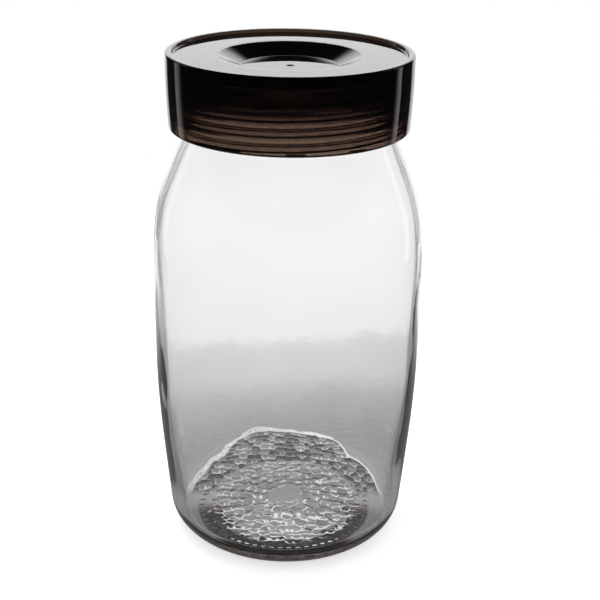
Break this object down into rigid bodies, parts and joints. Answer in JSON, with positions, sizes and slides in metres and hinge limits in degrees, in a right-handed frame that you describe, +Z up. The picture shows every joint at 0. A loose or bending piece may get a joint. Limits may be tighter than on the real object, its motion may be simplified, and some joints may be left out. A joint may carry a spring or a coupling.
{
  "type": "glass storage jar with screw lid",
  "caption": "Tall clear glass cookie jar with a domed hammered base, a rounded shoulder and a wide smoked plastic screw lid with a dished top.",
  "frame": {"origin": "centre of the bearing ring under the jar, in the plane that the jar stands on", "axes": "+Z up the jar's axis, from the base to the lid"},
  "size_m": [0.138, 0.138, 0.2573],
  "materials": {
    "clear_glass": "clear, polished, slightly wavy",
    "smoked_plastic": "smoked brown, see-through at the skirt, high gloss",
    "ring_rubber": "matt"
  },
  "bodies": {
    "jar": {"glass_jar": "clear_glass"},
    "ring": {"sealing_ring": "ring_rubber"},
    "lid": {"screw_lid": "smoked_plastic"}
  },
  "joints": [
    {"name": "lid_rise", "type": "slide", "parent": "jar", "child": "ring", "axis": [0, 0, 1], "range_m": [0, 0.021]},
    {"name": "lid_turn", "type": "hinge", "parent": "ring", "child": "lid", "pos_m": [0, 0, 0.22045], "axis": [0, 0, 1], "range_deg": [0, 1080]}
  ],
  "couplings": [
    {"joint": "lid_rise", "follows": "lid_turn", "m_per_rad": 0.0011141}
  ]
}
